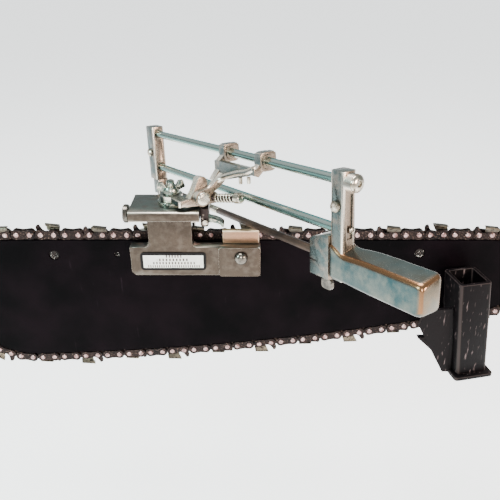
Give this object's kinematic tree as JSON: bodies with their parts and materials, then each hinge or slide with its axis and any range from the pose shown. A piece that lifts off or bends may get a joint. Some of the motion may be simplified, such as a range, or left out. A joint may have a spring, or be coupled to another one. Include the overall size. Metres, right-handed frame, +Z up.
{
  "type": "saw chain filing guide",
  "caption": "Bar-mounted saw-chain filing guide: clamp, turret and two-rod frame with a round file, on a guide bar with its chain in a square-tube vise post.",
  "frame": {"origin": "centre of the underside of the vise post's foot plate", "axes": "+X along the guide bar towards its nose, +Y from the front to the rear, +Z up"},
  "size_m": [0.4907, 0.2831, 0.2132],
  "materials": {
    "black_paint": "chipped black paint",
    "bar_black": "matte black, finely scratched",
    "chain_steel": "dark oiled steel",
    "cast_aluminium": "satin cast",
    "bright_steel": "worn plating",
    "bronze": "satin bronze",
    "file_steel": "fine-cut file steel",
    "brass": "satin",
    "label": "bare printed plate with a black border",
    "teal_steel": "worn plating with a teal tint",
    "dark_steel": "oiled steel"
  },
  "bodies": {
    "base": {"vise_post": "black_paint", "foot_plate": "black_paint", "vise_bracket": "black_paint", "front_jaw_pad": "black_paint", "rear_jaw_pad": "black_paint", "brass_set_screw": "brass", "bar_front_plate": "bar_black", "bar_core": "bar_black", "bar_rear_plate": "bar_black", "end_sprocket": "dark_steel", "chain_drive_links": "chain_steel", "chain_front_side_links": "chain_steel", "chain_rear_side_links": "chain_steel"},
    "vise_clamp_screw": {"vise_screw": "dark_steel", "tommy_bar": "dark_steel"},
    "clamp": {"clamp_body": "cast_aluminium", "label_plate": "label", "guide_block": "bronze", "rear_jaw": "cast_aluminium", "pawl_bracket": "dark_steel", "pawl_pin": "bright_steel", "turret_base": "cast_aluminium"},
    "dome_screw": {"domed_clamp_screw": "bright_steel"},
    "thumb_screw_left": {"rear_thumb_screw_left": "bright_steel"},
    "thumb_screw_right": {"rear_thumb_screw_right": "bright_steel"},
    "block_knob": {"side_knob": "bright_steel"},
    "pawl": {"tooth_stop": "teal_steel"},
    "swivel": {"swivel_arm": "cast_aluminium", "hinge_pin": "bright_steel", "hinge_nut": "bright_steel", "stop_spring": "bright_steel"},
    "wing": {"wing_nut": "bright_steel"},
    "stop": {"stop_screw": "bright_steel"},
    "lift_yoke": {"yoke": "cast_aluminium", "bushing_left": "bronze", "bushing_right": "bronze"},
    "file_frame": {"upper_rod": "bright_steel", "lower_rod": "bright_steel", "left_post": "cast_aluminium", "right_post": "cast_aluminium", "left_post_screw": "dark_steel", "right_post_screw": "dark_steel", "rear_file_clamp": "cast_aluminium", "front_file_clamp": "cast_aluminium", "handle": "cast_aluminium"},
    "rear_key": {"rear_file_screw": "bright_steel"},
    "front_key": {"front_file_screw": "bright_steel"},
    "file": {"file_shank": "file_steel", "file_ferrule": "bright_steel", "round_file": "file_steel"}
  },
  "joints": [
    {"name": "clamp_travel", "type": "slide", "parent": "base", "child": "clamp", "axis": [1, 0, 0], "range_m": [-0.03, 0.03]},
    {"name": "swivel_turn", "type": "hinge", "parent": "clamp", "child": "swivel", "pos_m": [-0.2395, 0.0245, 0.143], "axis": [0, 0, 1], "range_deg": [-12, 15]},
    {"name": "yoke_lift", "type": "hinge", "parent": "swivel", "child": "lift_yoke", "pos_m": [-0.21289, 0.00857, 0.14818], "axis": [0.5644, -0.8151, 0.1305], "range_deg": [0, 40]},
    {"name": "frame_slide", "type": "slide", "parent": "lift_yoke", "child": "file_frame", "axis": [0.5644, -0.8151, 0.1305], "range_m": [-0.04, 0.08]},
    {"name": "file_turn", "type": "hinge", "parent": "file_frame", "child": "file", "pos_m": [-0.1876, 0.0225, 0.1258], "axis": [0.5644, -0.8151, 0.1305], "continuous": true},
    {"name": "rear_key_turn", "type": "hinge", "parent": "file_frame", "child": "rear_key", "pos_m": [-0.26417, 0.13276, 0.10349], "axis": [-0.0413, 0.1301, 0.9906], "continuous": true},
    {"name": "front_key_turn", "type": "hinge", "parent": "file_frame", "child": "front_key", "pos_m": [-0.12951, -0.06228, 0.12663], "axis": [-0.0413, 0.1301, 0.9906], "continuous": true},
    {"name": "wing_nut_turn", "type": "hinge", "parent": "clamp", "child": "wing", "pos_m": [-0.2395, 0.0245, 0.1465], "axis": [0, 0, 1], "continuous": true},
    {"name": "stop_screw_turn", "type": "hinge", "parent": "swivel", "child": "stop", "pos_m": [-0.18785, 0.00771, 0.14944], "axis": [0.7791, -0.5809, 0.2359], "continuous": true},
    {"name": "tooth_stop_lift", "type": "hinge", "parent": "clamp", "child": "pawl", "pos_m": [-0.2135, 0.0225, 0.127], "axis": [0, -1, 0], "range_deg": [0, 35]},
    {"name": "dome_screw_turn", "type": "hinge", "parent": "clamp", "child": "dome_screw", "pos_m": [-0.1864, 0.0055, 0.101], "axis": [0, 1, 0], "continuous": true},
    {"name": "thumb_screw_left_turn", "type": "hinge", "parent": "clamp", "child": "thumb_screw_left", "pos_m": [-0.2575, 0.0385, 0.096], "axis": [0, 1, 0], "continuous": true},
    {"name": "thumb_screw_right_turn", "type": "hinge", "parent": "clamp", "child": "thumb_screw_right", "pos_m": [-0.2295, 0.0385, 0.096], "axis": [0, 1, 0], "continuous": true},
    {"name": "block_knob_turn", "type": "hinge", "parent": "clamp", "child": "block_knob", "pos_m": [-0.2705, 0.0145, 0.1342], "axis": [1, 0, 0], "continuous": true},
    {"name": "vise_screw_turn", "type": "hinge", "parent": "base", "child": "vise_clamp_screw", "pos_m": [-0.0075, 0.0525, 0.063], "axis": [0, 1, 0], "continuous": true}
  ]
}
